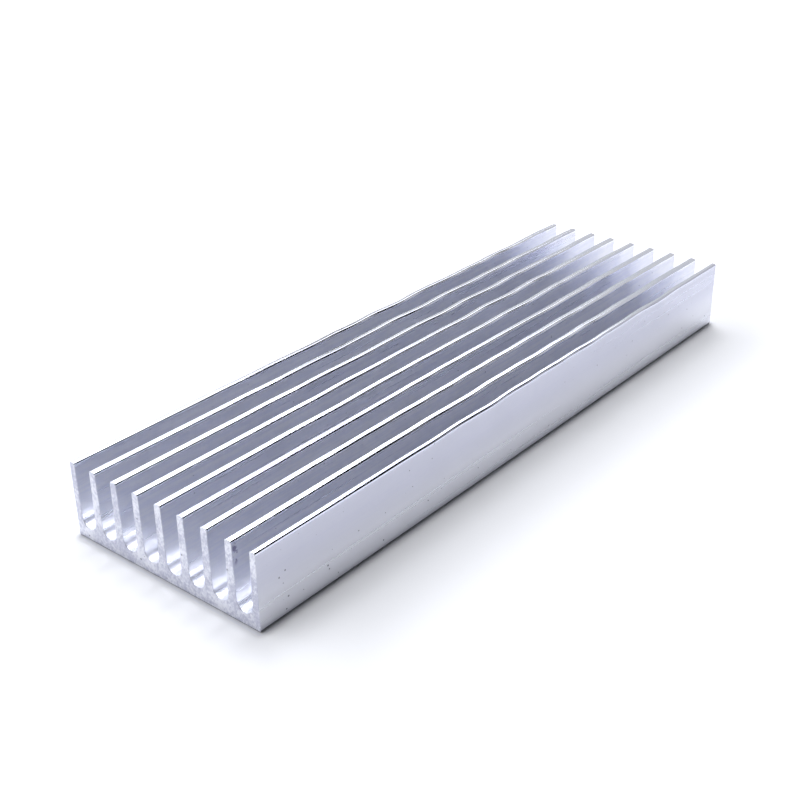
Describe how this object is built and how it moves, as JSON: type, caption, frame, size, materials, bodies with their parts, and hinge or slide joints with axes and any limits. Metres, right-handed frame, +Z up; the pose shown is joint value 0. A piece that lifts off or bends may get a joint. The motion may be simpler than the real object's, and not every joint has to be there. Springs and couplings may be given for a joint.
{
  "type": "extruded heat sink",
  "caption": "Bare aluminium extruded heat sink: a flat base with straight tapered fins along its length and round-bottomed channels between them, sawn square at both ends.",
  "frame": {"origin": "middle of the flat underside, the face that takes the heat", "axes": "+X along the extrusion and its fins, +Y across the fins, +Z up from the underside to the tips of the fins"},
  "size_m": [0.15, 0.045, 0.015],
  "materials": {
    "bare_aluminium": "bare as extruded, satin, with fine die lines along the length and sawn ends"
  },
  "bodies": {
    "root": {"heat_sink": "bare_aluminium"}
  },
  "joints": []
}
